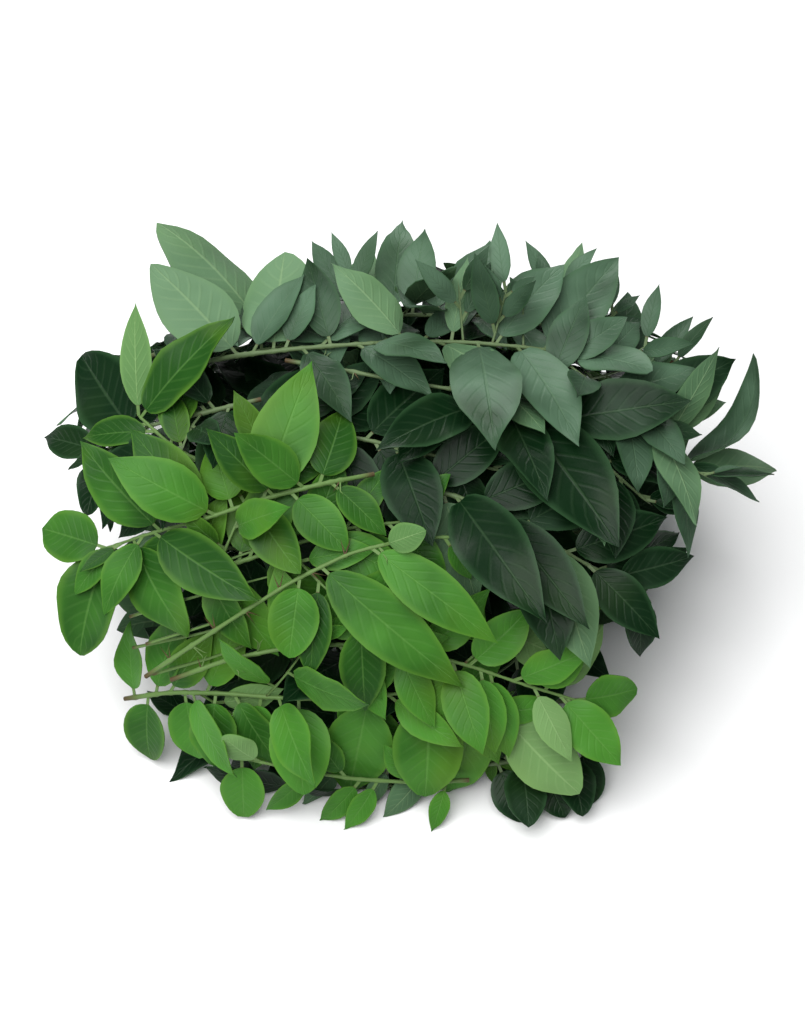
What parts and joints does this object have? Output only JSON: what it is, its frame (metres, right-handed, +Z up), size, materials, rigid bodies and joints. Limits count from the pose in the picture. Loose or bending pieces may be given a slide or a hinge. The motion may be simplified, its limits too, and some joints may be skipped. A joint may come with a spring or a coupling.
{
  "type": "bunch of cut katuk sprigs",
  "caption": "Bunch of cut katuk (sweet leaf) sprigs laid down in a heap: slender stems with two rows of pointed oval leaves, light young ones in front, dark mature ones over and behind.",
  "frame": {"origin": "centre of the bunch's bounding box in plan, on the table it lies on", "axes": "+X to the right as pictured, along the heap's length; +Y away from the camera to the back of the heap; +Z up"},
  "size_m": [0.3248, 0.2926, 0.1674],
  "materials": {
    "young_leaf": "satin light green leaf",
    "mature_leaf": "satin dark bluish green leaf"
  },
  "bodies": {
    "root": {"back_sprig_1": "mature_leaf", "back_sprig_2": "mature_leaf", "back_sprig_3": "mature_leaf", "back_sprig_4": "young_leaf", "back_sprig_5": "mature_leaf", "dark_sprig_bare": "mature_leaf", "dark_sprig_crest": "mature_leaf", "dark_sprig_foot": "mature_leaf", "dark_sprig_heart": "mature_leaf", "dark_sprig_left": "mature_leaf", "dark_sprig_low": "mature_leaf", "dark_sprig_mid": "mature_leaf", "dark_sprig_ridge": "mature_leaf", "dark_sprig_right": "mature_leaf", "inner_sprig_1": "mature_leaf", "inner_sprig_2": "mature_leaf", "inner_sprig_3": "mature_leaf", "inner_sprig_4": "mature_leaf", "inner_sprig_5": "mature_leaf", "inner_sprig_6": "mature_leaf", "inner_sprig_7": "mature_leaf", "inner_sprig_8": "mature_leaf", "inner_sprig_9": "mature_leaf", "young_sprig_base": "young_leaf", "young_sprig_foot": "young_leaf", "young_sprig_front": "young_leaf", "young_sprig_left": "young_leaf", "young_sprig_low": "young_leaf", "young_sprig_under": "young_leaf", "young_sprig_upright": "young_leaf"}
  },
  "joints": []
}
